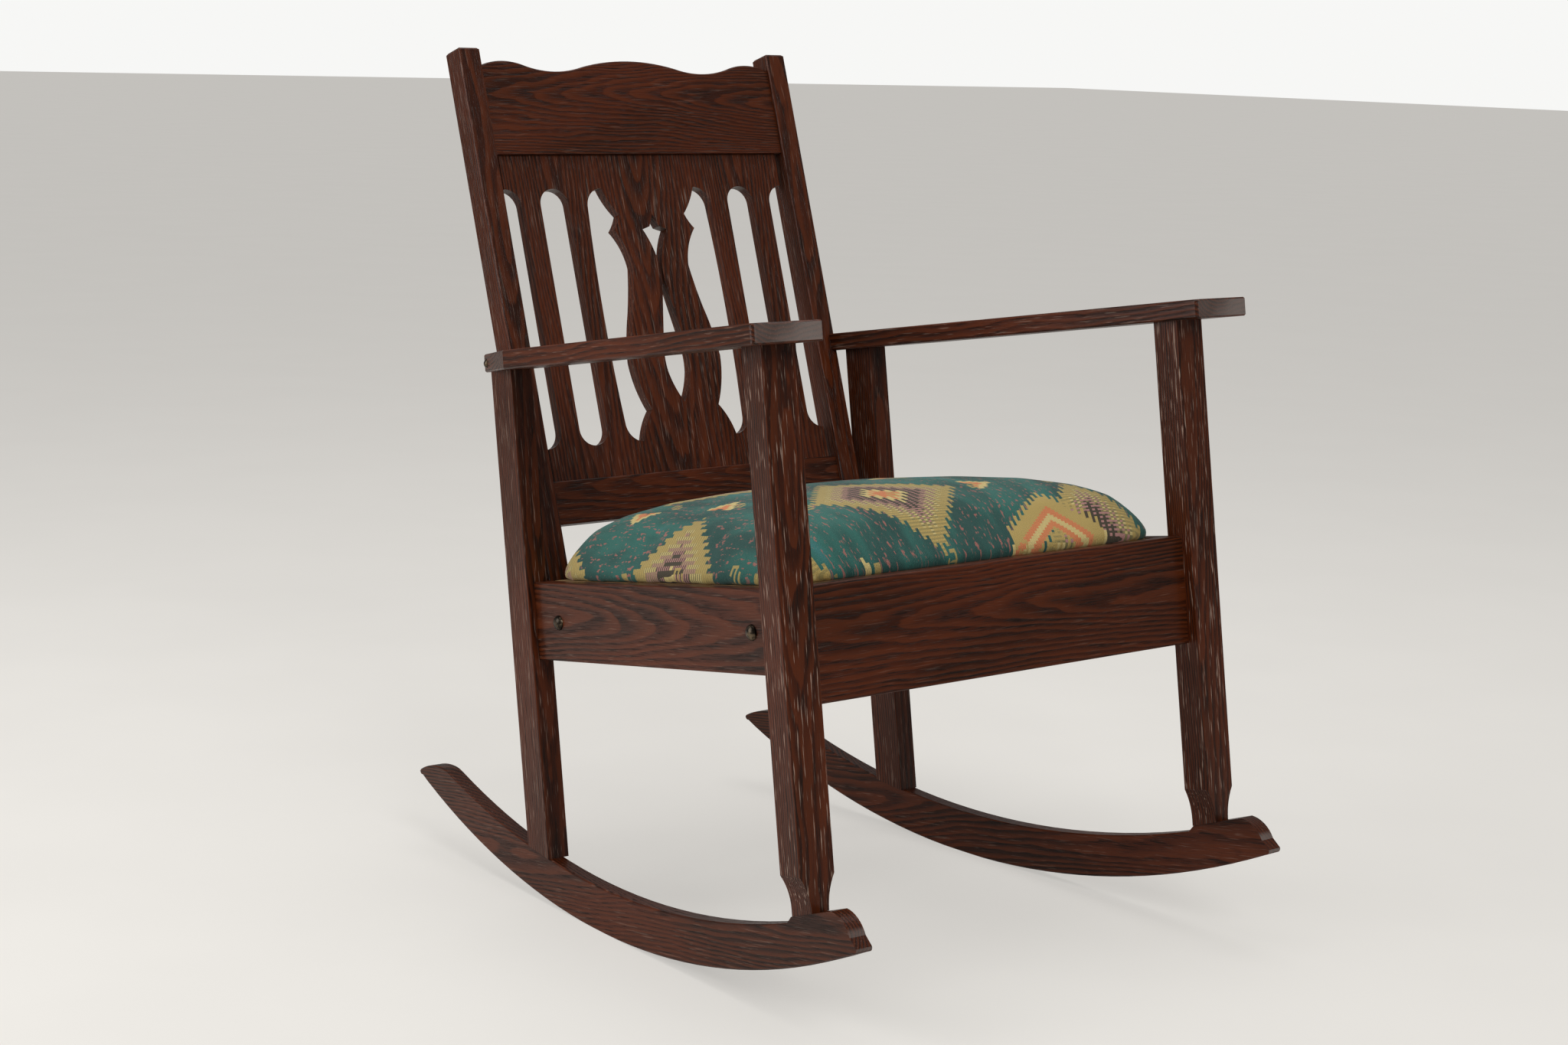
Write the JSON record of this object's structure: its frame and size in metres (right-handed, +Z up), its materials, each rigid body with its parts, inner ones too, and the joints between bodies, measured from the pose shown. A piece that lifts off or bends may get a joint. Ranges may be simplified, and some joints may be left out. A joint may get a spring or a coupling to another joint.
{
  "type": "rocking chair",
  "caption": "Wooden rocking chair on two curved runners, with flat arms, a raked back with a pierced splat and a domed lift-out upholstered seat.",
  "frame": {"origin": "centre of the bounding box's base, on the floor", "axes": "+Z up, -Y to the front of the chair, +X to the right seen from the front"},
  "size_m": [0.707, 0.8792, 0.9637],
  "materials": {
    "stained_oak": "dark red-brown stain under satin lacquer, open pores",
    "plain_oak": "unfinished",
    "iron": "dark, worn",
    "tapestry": "woven tapestry, teal ground with gold and salmon stepped figures",
    "lining": "plain weave"
  },
  "bodies": {
    "frame": {"arm_bolt_left": "iron", "arm_bolt_right": "iron", "arm_dowel_left_front": "plain_oak", "arm_dowel_left_rear": "plain_oak", "arm_dowel_right_front": "plain_oak", "arm_dowel_right_rear": "plain_oak", "arm_left": "stained_oak", "arm_right": "stained_oak", "back_post_left": "stained_oak", "back_post_right": "stained_oak", "crest_rail": "stained_oak", "foot_dowel_left_front": "plain_oak", "foot_dowel_left_rear": "plain_oak", "foot_dowel_right_front": "plain_oak", "foot_dowel_right_rear": "plain_oak", "front_apron": "stained_oak", "front_leg_left": "stained_oak", "front_leg_right": "stained_oak", "lower_back_rail": "stained_oak", "post_screw_left": "iron", "post_screw_right": "iron", "rail_bolt_left_back": "iron", "rail_bolt_left_front": "iron", "rail_bolt_right_back": "iron", "rail_bolt_right_front": "iron", "rail_nut_left_back": "iron", "rail_nut_left_front": "iron", "rail_nut_right_back": "iron", "rail_nut_right_front": "iron", "rail_washer_left_back": "iron", "rail_washer_left_front": "iron", "rail_washer_right_back": "iron", "rail_washer_right_front": "iron", "rear_leg_left": "stained_oak", "rear_leg_right": "stained_oak", "rear_seat_rail": "stained_oak", "rocker_left": "stained_oak", "rocker_right": "stained_oak", "seat_cleat_front": "plain_oak", "seat_cleat_left": "plain_oak", "seat_cleat_right": "plain_oak", "side_rail_left": "stained_oak", "side_rail_right": "stained_oak", "splat_left": "stained_oak", "splat_middle": "stained_oak", "splat_right": "stained_oak"},
    "seat": {"seat_cushion": "tapestry", "seat_dust_cover": "lining", "seat_frame_front": "plain_oak", "seat_frame_left": "plain_oak", "seat_frame_rear": "plain_oak", "seat_frame_right": "plain_oak", "seat_webbing": "lining"}
  },
  "joints": [
    {"name": "seat_lift", "type": "slide", "parent": "frame", "child": "seat", "axis": [0, 0.1614, 0.9869], "range_m": [0, 0.07]}
  ]
}
